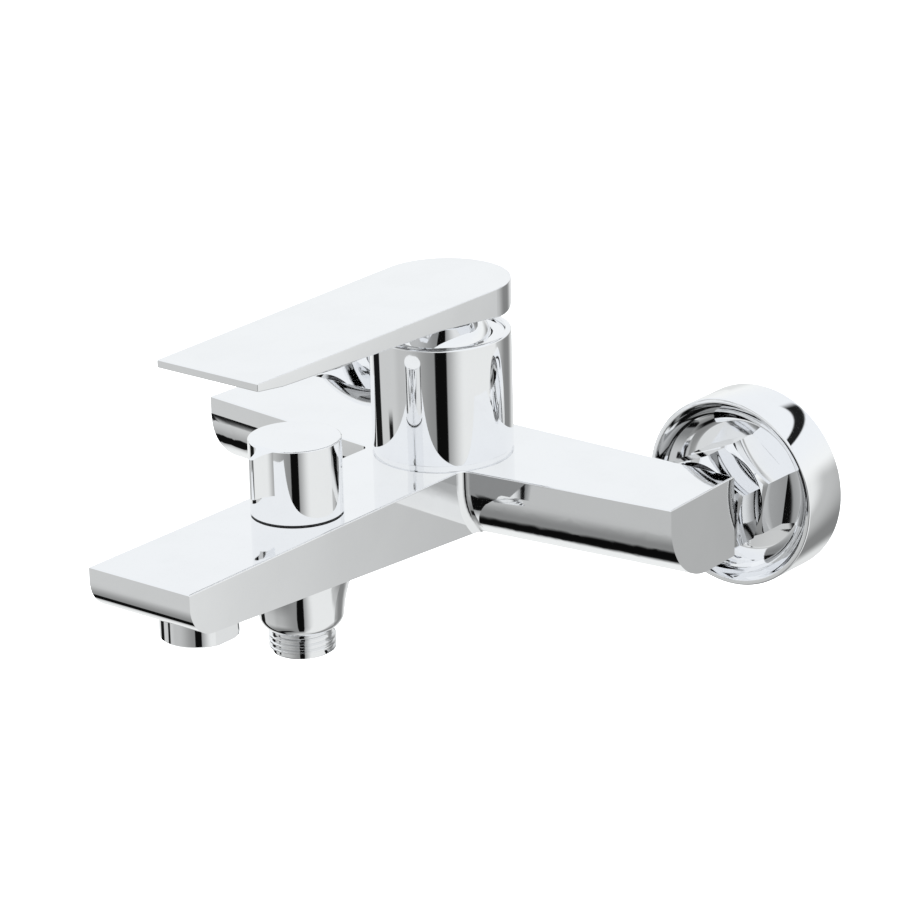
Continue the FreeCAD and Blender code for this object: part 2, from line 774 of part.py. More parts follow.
def diverter_pieces():
    """Rotary diverter: knob, spindle and plug that turn, and the headpart that holds them."""
    at = (0, -s.knob_y, s.top_z)
    cavity_r = s.knob_r - 2.6
    knob_low = s.knob_gap
    knob = turned("diverter_knob", [
        (0, knob_low + 12),
        (cavity_r, knob_low + 12),
        (cavity_r, knob_low),
        (s.knob_r, knob_low),
        (s.knob_r, knob_low + s.knob_h - 0.4, 0.4),
        (s.knob_r - 0.4, knob_low + s.knob_h),
        (0, knob_low + s.knob_h),
    ], at)
    finger = sketch_on(knob, "XY_Plane", knob_low + s.knob_h - s.pointer_h)
    flank_x = s.knob_r * 0.62
    flank_y = -s.knob_r * 0.7846
    outline(finger, [
        (-flank_x, flank_y, -9),
        (-0.9, 0.5 - s.pointer_reach, 1.1),
        (0.9, 0.5 - s.pointer_reach, -9),
        (flank_x, flank_y),
        (5, 0),
        (-5, 0),
    ])
    pad(knob, finger, s.pointer_h)
    slope = sketch_on(knob, "YZ_Plane")
    rim = knob_low + s.knob_h
    outline(slope, [
        (-s.pointer_reach - 3, rim - 2.1),
        (-s.knob_r + 2, rim, 24),
        (-s.knob_r + 2, rim + 3),
        (-s.pointer_reach - 3, rim + 3),
    ])
    cut_through(knob, slope)
    rod(knob, s.spindle_r + s.snug, (0, 0, knob_low + 6), 11.5)
    rod(knob, 1.6, (0, 1, knob_low + 15), 20, ALONG_Y)
    turned("diverter_knob_screw", [
        (0, s.spindle_r - 0.4),
        (1.55, s.spindle_r - 0.4),
        (1.55, s.knob_r - 1.2),
        (0, s.knob_r - 1.2),
    ], (0, -s.knob_y, s.top_z + knob_low + 15), ALONG_Y)

    ring("diverter_base_ring", cavity_r - 0.75, s.knob_r - 0.35, s.knob_gap - 0.1, at)
    bonnet_r = s.valve_bore_r - 0.03
    bonnet = turned("diverter_headpart", [
        (s.spindle_r + s.running, -6.4),
        (bonnet_r, -6.4),
        (bonnet_r, 0.5),
        (cavity_r - 0.8, 0.5),
        (cavity_r - 0.8, 3.4),
        (7.5, 3.4),
        (7.5, 9.5),
        (s.spindle_r + s.running, 9.5),
    ], at)
    for side in (1, -1):
        start = 9.6 if side > 0 else -15.6
        block(bonnet, (start, -12, 1.2), 6, 24, 4)
    ring("diverter_headpart_seal", s.valve_bore_r + s.snug, cavity_r - 0.8, 0.45, at)
    sleeve_low = 0.3 - s.valve_depth
    cage = turned("diverter_valve_cage", [
        (0, sleeve_low),
        (s.valve_bore_r - s.snug, sleeve_low),
        (s.valve_bore_r - s.snug, -6.5),
        (8.9, -6.5),
        (8.9, sleeve_low + 1.6),
        (0, sleeve_low + 1.6),
    ], at)
    rod(cage, s.channel_r - 0.2, (0, -14, -s.channel_drop), 28, ALONG_Y)
    block(cage, (-1.2, -6.3, sleeve_low - 1), 2.4, 12.6, 4)
    plug = turned("diverter_plug", [
        (0, -8.2),
        (3.6, -8.2),
        (3.6, -6.9),
        (8.9 - s.running, -6.9),
        (8.9 - s.running, sleeve_low + 1.7),
        (0, sleeve_low + 1.7),
    ], at)
    rod(plug, 6.9, (0, 0, sleeve_low + 3.0), s.valve_depth - 11.4)
    block(plug, (-10, 0, sleeve_low + 3.4), 20, 10, s.valve_depth - 12.2)
    rod(plug, s.channel_r - 0.2, (0, -12, -s.channel_drop), 12, ALONG_Y)
    block(plug, (-6.3, -1.2, sleeve_low + 1), 12.6, 2.4, 4)
    spindle = turned("diverter_spindle", [
        (0, -6.85),
        (3.5, -6.85),
        (3.5, -6.3),
        (s.spindle_r, -6.3),
        (s.spindle_r, 1),
        (s.spindle_r - 0.8, 1),
        (s.spindle_r - 0.8, 2.2),
        (s.spindle_r, 2.2),
        (s.spindle_r, knob_low + 17.2),
        (0, knob_low + 17.2),
    ], at)
    block(spindle, (-5, s.spindle_r - 0.5, knob_low + 12), 10, 3, 8)
    o_ring("diverter_o_ring", s.spindle_r - 0.38, 0.4, (0, -s.knob_y, s.top_z + 1.6))


def outlet_pieces():
    """Shower outlet: threaded nipple, seal, and a spring-loaded non-return valve."""
    face = (0, -s.knob_y, boss_z)
    thread_low = -s.outlet_thread_h
    nipple_top = 8.4
    socket_r = 9.55
    turned("shower_outlet_nipple", [
        (s.nipple_bore_r, thread_low),
        (thread_root - 0.1, thread_low),
        *thread_ridges(thread_low + 0.1, 4),
        (thread_root - 0.1, -0.05),
        (socket_r, 0.05),
        (socket_r, nipple_top),
        (s.nipple_bore_r, nipple_top),
    ], face)
    ring("outlet_nipple_seal", 7.2, 9.4, 1.2, (0, -s.knob_y, boss_z + nipple_top + 0.05))
    cage_r = s.nipple_bore_r - s.snug
    low = thread_low + 1.0
    housing = turned("check_valve_housing", [
        (1.3, low),
        (cage_r, low),
        (cage_r, low + 14.5),
        (4.4, low + 14.5),
        (4.4, low + 13.4),
        (6.2, low + 11.9),
        (6.2, low + 1.4),
        (1.3, low + 1.4),
    ], face)
    for index in range(6):
        angle = index * math.pi / 3
        rod(housing, 1.35, (3.9 * math.cos(angle), 3.9 * math.sin(angle), low - 1), 4)
    turned("check_valve_poppet", [
        (0, low + 0.5),
        (1.25, low + 0.5),
        (1.25, low + 10.6),
        (5.4, low + 10.6),
        (5.4, low + 12.2),
        (4.1, low + 13.3),
        (0, low + 13.3),
    ], face)
    coil_r = 3.0
    helix = Part.makeHelix(1.7, 8.4, coil_r)
    wire_section = Part.Wire(Part.makeCircle(0.3, Vector(coil_r, 0, 0), Vector(0, 1, 0)))
    spring = doc.addObject("Part::Feature", "check_valve_spring")
    spring.Label = "check_valve_spring"
    spring.Shape = helix.makePipeShell([wire_section], True, True)
    place(spring, (0, -s.knob_y, boss_z + low + 1.75))
    nodes.append(spring)


def aerator_pieces():
    """Flow straightener: collar with two spanner flats, mesh insert and washer."""
    face = (0, -s.aerator_y, aerator_z)
    collar_top_z = under_z(s.aerator_y) + 1.4 - aerator_z
    neck_len = 7.5
    collar = turned("aerator_collar", [
        (9.2, 0),
        (s.aerator_r - 0.5, 0),
        (s.aerator_r, 0.5),
        (s.aerator_r, collar_top_z),
        (s.aerator_bore_r - 0.06, collar_top_z),
        (s.aerator_bore_r - 0.06, collar_top_z + neck_len),
        (9.4, collar_top_z + neck_len),
        (9.4, 2.0),
        (9.2, 2.0),
    ], face)
    for side in (1, -1):
        start = s.aerator_flat if side > 0 else -s.aerator_flat - 3
        block(collar, (start, -8, -1), 3, 16, collar_top_z - 2)
    insert = turned("aerator_insert", [
        (0, 0.9),
        (9.1, 0.9),
        (9.1, 2.1),
        (9.3, 2.1),
        (9.3, collar_top_z + 5.5),
        (0, collar_top_z + 5.5),
    ], face)
    for radius, count in ((0, 1), (3.0, 6), (6.0, 12)):
        for index in range(count):
            angle = 2 * math.pi * index / count
            at = (radius * math.cos(angle), radius * math.sin(angle), 0)
            rod(insert, 1.15, at, collar_top_z + 7)
    ring("aerator_washer", 7.0, 9.3, 1.9, (0, -s.aerator_y, aerator_z + collar_top_z + 5.55))


def wall_pieces(name, x):
    """One inlet, from the casting to the wall: tail, nut, washer, eccentric union and flange."""
    tail_start = -s.back_y - 12
    seat_y = -s.nut_start + 3.05
    at = (x, 0, 0)
    turned(f"inlet_tail_{name}", [
        (6.6, tail_start),
        (9.45, tail_start),
        (9.45, -s.back_y - 0.02),
        (9.45, 1.6 - s.back_y),
        (s.tail_r, 1.6 - s.back_y),
        (s.tail_r, seat_y),
        (12.6, seat_y),
        (12.6, seat_y + 2),
        (8.0, seat_y + 2),
        (8.0, seat_y - 4),
        (6.6, seat_y - 5.5),
    ], at, ALONG_Y)
    ring(f"tail_seal_{name}", 9.5, 12.4, 1.58, (x, -s.back_y, 0), ALONG_Y)
    washer_y = seat_y + 2.02
    ring(f"union_washer_{name}", 8.4, 12.5, 1.9, (x, washer_y, 0), ALONG_Y)
    screen = turned(f"inlet_filter_{name}", [
        (6.6, 0),
        (7.9, 0),
        (7.9, 1.6),
        (0, 1.6),
        (0, 0.8),
        (6.6, 0.8),
    ], (x, seat_y - 1.2, 0), ALONG_Y)
    for radius, count in ((2.0, 6), (4.4, 12)):
        for index in range(count):
            angle = 2 * math.pi * index / count
            rod(screen, 0.65, (radius * math.cos(angle), radius * math.sin(angle), -1), 4)

    tilt = Rotation(Vector(0, 0, 1), 30 + s.nut_tilt.value)
    corner = s.nut_flats / math.sqrt(3)
    nut = new_body(f"union_nut_{name}", (x, -s.nut_start, 0), ALONG_Y)
    hexagon(nut, s.nut_flats, s.nut_len, turn=tilt)
    bevel_hex(nut, s.nut_flats / 2, corner, s.nut_len, both=True)
    rod(nut, s.tail_r + s.snug + 0.1, (0, 0, -1), s.nut_len + 2)
    rod(nut, s.union_r + 0.2, (0, 0, 3.0), s.nut_len)

    union = turned(f"eccentric_union_{name}", [
        (0, washer_y + 1.92),
        (s.union_r - 0.6, washer_y + 1.92),
        (s.union_r, washer_y + 2.5),
        (s.union_r, -s.hex_start - 1.2),
        (s.union_r - 0.9, -s.hex_start - 1.0),
        (s.union_r - 0.9, -s.hex_start),
        (s.union_r, -s.hex_start),
        (s.union_r, -1),
        (0, -1),
    ], at, ALONG_Y)
    hexagon(union, s.nut_flats, s.hex_len, (0, 0, -s.hex_start), tilt)
    bevel_hex(union, s.nut_flats / 2, corner, s.hex_len, base=-s.hex_start)
    offset_revolve(union, [
        (0, -5),
        (thread_root, -5),
        (thread_root, 0.3),
        *thread_ridges(0.3, 8),
        (thread_root - 0.2, s.wall_thread_len),
        (0, s.wall_thread_len),
    ])
    rod(union, s.union_bore_r, (0, 0, -s.nut_start), s.nut_start - 3)
    rod(union, 7.0, (0, s.wall_offset, -4.8), s.wall_thread_len + 8)

    rim = -s.flange_h
    wall = s.flange_wall
    floor_y = -s.hex_start + s.hex_len + 0.1
    collar_r = s.union_r + s.snug
    bowl_r = corner + 2.52
    turned(f"escutcheon_{name}", [
        (s.flange_r - wall, 0),
        (s.flange_r, 0),
        (s.flange_r, rim + 0.6),
        (s.flange_r - 0.5, rim),
        (s.flange_r - 1.3, rim),
        (s.flange_r - 1.9, rim + 0.6, 13),
        (bowl_r, floor_y),
        (collar_r, floor_y),
        (collar_r, floor_y + 2.5),
        (collar_r + wall, floor_y + 2.5),
        (collar_r + wall, floor_y + wall),
        (bowl_r, floor_y + wall, -13 - wall),
        (s.flange_r - wall, rim + 3.2),
    ], at, ALONG_Y)
    ring(f"escutcheon_gasket_{name}", s.flange_r - 5, s.flange_r - wall - s.snug, 2.5,
         (x, -2.5, 0), ALONG_Y)


def bevel_hex(body, flat, corner, length, base=0.0, both=False):
    """Turn the hexagon's corners down to a cone at its front face, or at both faces."""
    rise = (corner - flat) * 0.577
    revolve(body, [
        (flat - 0.3, base - 1),
        (flat - 0.3, base),
        (corner + 0.6, base + rise + 0.5),
        (corner + 4, base + rise + 0.5),
        (corner + 4, base - 1),
    ], kind="Groove")
    if both:
        far = base + length
        revolve(body, [
            (flat - 0.3, far + 1),
            (flat - 0.3, far),
            (corner + 0.6, far - rise - 0.5),
            (corner + 4, far - rise - 0.5),
            (corner + 4, far + 1),
        ], kind="Groove")


def offset_revolve(body, corners):
    """Turn an outline about an axis that lies the eccentric's offset below the body's own."""
    sketch = sketch_on(body, "XZ_Plane")
    place(sketch, (0, 0, -s.wall_offset), path="AttachmentOffset")
    outline(sketch, corners)
    feature = body.newObject("PartDesign::Revolution", "revolution")
    feature.Profile = sketch
    feature.ReferenceAxis = (sketch, ["V_Axis"])
    feature.Angle = 360


faucet_body()
column_pieces()
cartridge_pieces()
lever_pieces()
diverter_pieces()
outlet_pieces()
aerator_pieces()
wall_pieces("right", inlet_x)
wall_pieces("left", -inlet_x)
doc.recompute()

faults = [f"{thing.Label}: {thing.State}" for thing in doc.Objects
          if "Invalid" in thing.State or "Error" in thing.State]
for node in nodes:
    if node.Shape.isNull() or not node.Shape.isValid():
        faults.append(f"{node.Label}: no valid shape")
if faults:
    raise RuntimeError("the model has faults: " + "; ".join(faults))

os.makedirs("parts", exist_ok=True)
for node in nodes:
    node.Shape.exportStep(f"parts/{node.Label}.step")
    print(node.Label, len(node.Shape.Solids), round(node.Shape.Volume, 1))
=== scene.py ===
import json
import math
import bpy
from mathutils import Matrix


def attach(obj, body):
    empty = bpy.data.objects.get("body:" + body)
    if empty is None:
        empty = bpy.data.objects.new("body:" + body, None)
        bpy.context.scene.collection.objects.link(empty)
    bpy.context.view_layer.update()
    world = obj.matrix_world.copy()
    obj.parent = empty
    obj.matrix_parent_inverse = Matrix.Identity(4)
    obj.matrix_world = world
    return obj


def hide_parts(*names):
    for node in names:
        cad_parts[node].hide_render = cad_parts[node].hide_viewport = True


bl_info = {
    "name": "Wall mounted bath faucet",
    "version": (1, 0, 0),
    "blender": (4, 5, 0),
    "location": "View3D > Sidebar > Bath faucet",
    "description": "Builds the chrome bath faucet round its CAD frame, with its finishes and a studio",
    "category": "Object",
}

import bpy
from bpy.props import FloatProperty, FloatVectorProperty, IntProperty, PointerProperty
from mathutils import Matrix, Vector

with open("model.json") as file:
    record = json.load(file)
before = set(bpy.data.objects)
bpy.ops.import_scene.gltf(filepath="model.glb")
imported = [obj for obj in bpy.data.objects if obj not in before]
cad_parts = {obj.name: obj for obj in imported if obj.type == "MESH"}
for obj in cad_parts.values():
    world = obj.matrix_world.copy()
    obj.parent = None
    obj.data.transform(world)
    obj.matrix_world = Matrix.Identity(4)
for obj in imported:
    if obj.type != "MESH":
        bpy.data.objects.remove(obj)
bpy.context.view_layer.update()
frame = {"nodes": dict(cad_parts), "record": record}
NODES = frame["nodes"]
BODY_OF = {node: body for body, members in frame["record"]["behaviour"]["bodies"].items()
           for node in members}
SLOT_OF = {row["node"]: row["material_slot"] for row in frame["record"]["subparts"]}
MM = 0.001
FULL_TURN = 2 * math.pi

# places in mm
INLET_X = 75.0
COLUMN_Y = -67.4
SLEEVE_FOOT_Z = 16.0
CAP_RING_Z = 50.1
OUTLET_Y = -138.2
OUTLET_FACE_Z = -22.8
THREAD_PITCH = 1.814

# angles in degrees between faces that still shade as one
SMOOTH_ANGLE = 30.0
CAST_SMOOTH_ANGLE = 32.0


# ---------------------------------------------------------------- sizes and colours

class FaucetSizes(bpy.types.PropertyGroup):
    steps: IntProperty(
        name="Turning steps", description="Steps of a full turn", default=128, min=24)
    thread_steps: IntProperty(
        name="Thread steps", description="Steps of one turn of the thread", default=72, min=24)
    edge: FloatProperty(
        name="Broken edge", description="Width of the lever's polished edges", default=0.0003,
        unit="LENGTH")


class FaucetColours(bpy.types.PropertyGroup):
    chrome: FloatVectorProperty(
        name="Chrome", description="Tone of the plated chrome", subtype="COLOR",
        default=(0.93, 0.935, 0.945))
    brass: FloatVectorProperty(
        name="Brass", description="Tone of the bare brass", subtype="COLOR",
        default=(0.72, 0.5, 0.22))
    steel: FloatVectorProperty(
        name="Steel", description="Tone of the stainless steel", subtype="COLOR",
        default=(0.55, 0.55, 0.54))
    rubber: FloatVectorProperty(
        name="Rubber", description="Tone of the seals", subtype="COLOR",
        default=(0.018, 0.018, 0.02))
    ceramic: FloatVectorProperty(
        name="Ceramic", description="Tone of the sliding discs", subtype="COLOR",
        default=(0.86, 0.85, 0.82))
    grey_plastic: FloatVectorProperty(
        name="Grey plastic", description="Tone of the cartridge plastic", subtype="COLOR",
        default=(0.33, 0.35, 0.38))
    white_plastic: FloatVectorProperty(
        name="White plastic", description="Tone of the valve and aerator plastic",
        subtype="COLOR", default=(0.78, 0.78, 0.76))


class StudioSettings(bpy.types.PropertyGroup):
    lens: FloatProperty(name="Lens", description="Focal length", default=174.0252, unit="CAMERA")
    distance: FloatProperty(
        name="Distance", description="Camera to the middle of the faucet", default=1.37597,
        unit="LENGTH")
    azimuth: FloatProperty(
        name="Azimuth", description="Camera turned towards +X from the front",
        default=math.radians(39.343), subtype="ANGLE", unit="ROTATION")
    elevation: FloatProperty(
        name="Elevation", description="Camera above the horizon",
        default=math.radians(19.788), subtype="ANGLE", unit="ROTATION")
    roll: FloatProperty(
        name="Roll", description="Camera turned about its own view",
        default=math.radians(-1.575), subtype="ANGLE", unit="ROTATION")
    floor_drop: FloatProperty(
        name="Floor drop", description="Floor below the inlets", default=0.75, unit="LENGTH")


# ---------------------------------------------------------------- shader maths

class Field:
    """A number or colour that varies over a surface: one output socket of a node tree."""

    def __init__(self, tree, socket):
        self.tree = tree
        self.socket = socket

    def work_out(self, operation, *others):
        """One step of arithmetic, with this field as its first value."""
        return self.tree.node(
            "ShaderNodeMath", {"operation": operation}, dict(enumerate((self, *others))))

    def __add__(self, other):
        return self.work_out("ADD", other)

    __radd__ = __add__

    def __mul__(self, other):
        return self.work_out("MULTIPLY", other)

    def __sub__(self, other):
        return self.work_out("SUBTRACT", other)

    def __rsub__(self, other):
        return (self * -1) + other

    def step_up(self, start, end):
        """0 below start, 1 above end, smooth between them."""
        return self.tree.node(
            "ShaderNodeMapRange", {"interpolation_type": "SMOOTHSTEP"},
            {0: self, 1: start, 2: end, 3: 0.0, 4: 1.0})

    def band(self, middle, half, soft):
        """1 within half of the middle, falling to 0 over the soft width."""
        away = (self - middle).work_out("ABSOLUTE")
        return 1 - away.step_up(half - soft / 2, half + soft / 2)


class Shading:
    """The node tree of a material or world, started afresh."""

    def __init__(self, owner):
        owner.use_nodes = True
        self.tree = owner.node_tree
        self.tree.nodes.clear()

    def node(self, kind, settings=None, values=None, out=0):
        """Add a node, set it up, fill its inputs with values or links, and give one output."""
        made = self.tree.nodes.new(kind)
        for name, value in (settings or {}).items():
            setattr(made, name, value)
        for name, value in (values or {}).items():
            if isinstance(value, Field):
                self.tree.links.new(value.socket, made.inputs[name])
            else:
                made.inputs[name].default_value = value
        return Field(self, made.outputs[out])

    def noise(self, place, scale, detail=2.0, rough=0.5, stretch=None):
        """Cloudy pattern from 0 to 1; stretch draws it out along the axes under 1."""
        if stretch:
            place = self.node("ShaderNodeMapping", {}, {"Vector": place, "Scale": stretch})
        return self.node(
            "ShaderNodeTexNoise", {},
            {"Vector": place, "Scale": scale, "Detail": detail, "Roughness": rough})

    def mix(self, amount, first, second):
        """Blend of two colours."""
        return self.node(
            "ShaderNodeMix", {"data_type": "RGBA"}, {0: amount, 6: first, 7: second}, out=2)

    def bump(self, height, distance, strength):
        """Normals of a surface raised by height times the distance in metres."""
        return self.node(
            "ShaderNodeBump", {}, {"Height": height, "Distance": distance, "Strength": strength})

    def end(self, kind, shader):
        """Join the shader to the tree's output node."""
        output = self.tree.nodes.new(kind)
        self.tree.links.new(shader.socket, output.inputs["Surface"])


def tone(colour, factor=1.0):
    """A colour with its alpha, darkened by the factor."""
    return (*[min(1.0, channel * factor) for channel in colour], 1.0)


def surface(name, paint):
    """A material whose principled sockets are filled by paint(shading, place)."""
    material = bpy.data.materials.new(name)
    shading = Shading(material)
    place = shading.node("ShaderNodeTexCoord", out=3)
    values = paint(shading, place)
    shading.end("ShaderNodeOutputMaterial", shading.node("ShaderNodeBsdfPrincipled", {}, values))
    return material


def chrome_finish(name, colour, smudge=0.0):
    """Mirror chrome on buffed brass: faint ripple, buffing haze and a few dried water marks."""

    def paint(shading, place):
        haze = shading.noise(place, 55.0, 3.0).step_up(0.42, 0.68)
        fine = shading.noise(place, 900.0, 2.0).step_up(0.45, 0.75)
        buffing = shading.noise(place, 420.0, 2.0, stretch=(1.0, 0.06, 1.0))
        marks = shading.noise(place, 140.0, 4.0, 0.62).step_up(0.66, 0.74)
        ripple = shading.noise(place, 38.0, 1.0)
        dull = haze * 0.5 + fine * 0.2 + marks * 0.3
        height = ripple * 1.0 + buffing * 0.015 + fine * 0.006
        return {
            "Base Color": shading.mix(dull * 0.5, tone(colour), tone(colour, 0.94)),
            "Metallic": 1.0,
            "Roughness": haze * 0.015 + buffing * 0.01 + marks * 0.03 + fine * 0.006
            + (0.028 + smudge),
            "Normal": shading.bump(height, 0.00006, 0.5),
        }

    return surface(name, paint)


def brass_finish(name, colour):
    """Turned bare brass: fine tool rings, darker tarnish in patches."""

    def paint(shading, place):
        tarnish = shading.noise(place, 160.0, 5.0, 0.6).step_up(0.4, 0.7)
        rings = shading.node(
            "ShaderNodeTexWave", {"bands_direction": "Z"},
            {"Vector": place, "Scale": 2600.0, "Distortion": 0.6, "Detail": 1.0}, out=1)
        return {
            "Base Color": shading.mix(tarnish, tone(colour), tone(colour, 0.62)),
            "Metallic": 1.0,
            "Roughness": tarnish * 0.2 + rings * 0.06 + 0.22,
            "Normal": shading.bump(rings * 0.6 + tarnish * 0.4, 0.00004, 0.6),
        }

    return surface(name, paint)


def steel_finish(name, colour):
    """Drawn stainless steel: fine grain along Z, faint stains."""

    def paint(shading, place):
        grain = shading.noise(place, 2400.0, 3.0, 0.6, stretch=(1.0, 1.0, 0.12))
        stain = shading.noise(place, 220.0, 3.0).step_up(0.45, 0.7)
        return {
            "Base Color": shading.mix(stain * 0.6, tone(colour), tone(colour, 0.75)),
            "Metallic": 1.0,
            "Roughness": grain * 0.16 + stain * 0.08 + 0.2,
            "Normal": shading.bump(grain, 0.00003, 0.6),
        }

    return surface(name, paint)


def rubber_finish(name, colour):
    """Moulded rubber: open pores and a film of dust in patches."""

    def paint(shading, place):
        pores = shading.noise(place, 3200.0, 2.0)
        dust = shading.noise(place, 260.0, 4.0, 0.6).step_up(0.5, 0.78)
        return {
            "Base Color": shading.mix(dust * 0.35, tone(colour), (0.09, 0.09, 0.095, 1.0)),
            "Roughness": dust * 0.18 + pores * 0.1 + 0.55,
            "Specular IOR Level": 0.35,
            "Normal": shading.bump(pores, 0.00005, 0.5),
        }

    return surface(name, paint)


def plastic_finish(name, colour, roughness, grain=1800.0):
    """Moulded plastic or fired ceramic: a fine grain under slow changes of tone."""

    def paint(shading, place):
        texture = shading.noise(place, grain, 2.0)
        cloud = shading.noise(place, 120.0, 3.0).step_up(0.35, 0.7)
        return {
            "Base Color": shading.mix(cloud * 0.7, tone(colour), tone(colour, 0.86)),
            "Roughness": texture * 0.12 + cloud * 0.06 + roughness,
            "Normal": shading.bump(texture, 0.00003, 0.5),
        }

    return surface(name, paint)


FINISHES = {}


def make_finishes():
    """Fill FINISHES with a material for each slot of the record."""
    colours = bpy.context.scene.faucet_colours
    FINISHES.update({
        "polished_chrome": chrome_finish("polished_chrome", colours.chrome),
        "bare_brass": brass_finish("bare_brass", colours.brass),
        "stainless_steel": steel_finish("stainless_steel", colours.steel),
        "black_rubber": rubber_finish("black_rubber", colours.rubber),
        "dark_ring": plastic_finish("dark_ring", (0.012, 0.012, 0.014), 0.4),
        "cartridge_ceramic": plastic_finish("cartridge_ceramic", colours.ceramic, 0.12, 5200.0),
        "cartridge_plastic": plastic_finish("cartridge_plastic", colours.grey_plastic, 0.42),
        "white_plastic": plastic_finish("white_plastic", colours.white_plastic, 0.34),
        "index_plastic": chrome_finish("index_cap", colours.chrome, 0.05),
    })


def dress(piece, finish):
    """Give the piece one finish in place of what it had."""
    piece.data.materials.clear()
    piece.data.materials.append(FINISHES[finish])


# ---------------------------------------------------------------- shaping

def deselect():
    """Leave edit mode and let go of everything, the designed pieces included."""
    if bpy.context.object and bpy.context.object.mode != "OBJECT":
        bpy.ops.object.mode_set(mode="OBJECT")
    bpy.ops.object.select_all(action="DESELECT")


def only(piece):
    """Select the piece alone and make it the active one."""
    deselect()
    piece.select_set(True)
    bpy.context.view_layer.objects.active = piece


def rounded(corners):
    """Outline points in mm, with an arc at each corner that gives a radius as its third value."""
    points = []
    for index, corner in enumerate(corners):
        here = Vector(corner[:2])
        if len(corner) == 2:
            points.append(here)
            continue
        before = (Vector(corners[index - 1][:2]) - here).normalized()
        after = (Vector(corners[(index + 1) % len(corners)][:2]) - here).normalized()
        half = before.angle(after) / 2
        reach = corner[2] / math.tan(half)
        centre = here + (before + after).normalized() * (corner[2] / math.sin(half))
        start = here + before * reach - centre
        sweep = start.angle_signed(here + after * reach - centre)
        steps = max(3, round(abs(sweep) / math.radians(15)))
        for step in range(steps + 1):
            turn = Matrix.Rotation(-sweep * step / steps, 2)
            points.append(centre + turn @ start)
    return points


def curved(start, end, radius, steps=14):
    """Points of an arc between two outline points, without its ends.

    It bulges to the left, or to the right if the radius is negative.
    """
    a, b = Vector(start), Vector(end)
    chord = b - a
    side = Vector((-chord.y, chord.x)).normalized()
    depth = math.sqrt(radius * radius - chord.length_squared / 4)
    centre = (a + b) / 2 - side * math.copysign(depth, radius)
    first, last = a - centre, b - centre
    sweep = first.angle_signed(last)
    return [tuple(centre + Matrix.Rotation(-sweep * step / steps, 2) @ first)
            for step in range(1, steps)]


def wire(name, corners):
    """A loop of edges in the XZ plane, drawn vertex by vertex, left open in edit mode."""
    deselect()
    bpy.ops.mesh.primitive_plane_add(size=0.01, location=(0.0, 0.0, 0.0))
    piece = bpy.context.object
    piece.name = piece.data.name = name
    bpy.ops.object.mode_set(mode="EDIT")
    bpy.ops.mesh.select_all(action="SELECT")
    bpy.ops.mesh.merge(type="CENTER")
    path = [Vector((x, 0.0, z)) * MM for x, z in rounded(corners)]
    bpy.ops.transform.translate(value=path[0])
    for start, end in zip(path, path[1:] + path[:1]):
        bpy.ops.mesh.extrude_vertices_move(TRANSFORM_OT_translate={"value": end - start})
    bpy.ops.mesh.select_all(action="SELECT")
    bpy.ops.mesh.remove_doubles(threshold=1e-7)
    bpy.ops.mesh.select_all(action="SELECT")
    return piece


def tidy_skin():
    """Merge doubles and point every face outwards; leaves edit mode."""
    bpy.ops.mesh.select_all(action="SELECT")
    bpy.ops.mesh.remove_doubles(threshold=1e-6)
    bpy.ops.mesh.select_all(action="SELECT")
    bpy.ops.mesh.normals_make_consistent(inside=False)
    bpy.ops.object.mode_set(mode="OBJECT")


def lathed(name, corners):
    """Turn a closed outline of (radius, height) corners in mm about the Z axis."""
    piece = wire(name, corners)
    bpy.ops.mesh.spin(
        steps=bpy.context.scene.faucet_sizes.steps, angle=FULL_TURN,
        center=(0.0, 0.0, 0.0), axis=(0.0, 0.0, 1.0))
    tidy_skin()
    return piece


def settle(piece, place, along_y=False):
    """Smooth a finished piece, carry it to its place in mm and make that its mesh's own."""
    only(piece)
    bpy.ops.object.shade_smooth_by_angle(angle=math.radians(SMOOTH_ANGLE))
    piece.location = Vector(place) * MM
    if along_y:
        piece.rotation_euler = (-math.pi / 2, 0.0, 0.0)
    bpy.ops.object.transform_apply(location=True, rotation=True, scale=True)
    return piece


def modify(piece, kind, **settings):
    """Add a modifier and apply it."""
    only(piece)
    modifier = piece.modifiers.new(kind.lower(), kind)
    for name, value in settings.items():
        setattr(modifier, name, value)
    bpy.ops.object.modifier_apply(modifier=modifier.name)


def copy_of(piece, name):
    """A second piece with a mesh of its own."""
    twin = piece.copy()
    twin.data = piece.data.copy()
    twin.name = twin.data.name = name
    bpy.context.scene.collection.objects.link(twin)
    return twin


def stands_for(piece, node):
    """The piece takes the designed node's place, body and finish."""
    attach(piece, BODY_OF[node])
    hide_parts(node)
    dress(piece, SLOT_OF[node])


def from_design(node, edge):
    """A merged copy of a designed node with its hard edges broken, for shapes cast or forged."""
    piece = bpy.data.objects.new(f"{node}_skin", NODES[node].data.copy())
    bpy.context.scene.collection.objects.link(piece)
    piece.data.name = piece.name
    only(piece)
    bpy.ops.mesh.customdata_custom_splitnormals_clear()
    bpy.ops.object.mode_set(mode="EDIT")
    tidy_skin()
    modify(piece, "DECIMATE", decimate_type="DISSOLVE", angle_limit=math.radians(0.05))
    crease = math.radians(CAST_SMOOTH_ANGLE)
    modify(piece, "BEVEL", width=edge, segments=3, limit_method="ANGLE", angle_limit=crease,
           use_clamp_overlap=False)
    only(piece)
    bpy.ops.object.shade_smooth_by_angle(angle=crease)
    modify(piece, "WEIGHTED_NORMAL", keep_sharp=True, weight=80)
    stands_for(piece, node)
    return piece


# ---------------------------------------------------------------- light of the room

# level at the far left, then bearings in degrees between which it changes, and by how much
ROOM_LEVEL = 0.91
ROOM_STEPS = (
    (-150.0, -135.0, -0.29),
    (-84.0, -70.0, -0.08),
    (-60.0, -12.0, -0.26),
    (2.0, 38.0, 0.58),
    (95.5, 103.0, -0.32),
    (103.0, 125.0, -0.3),
    (136.0, 158.0, 0.55),
)


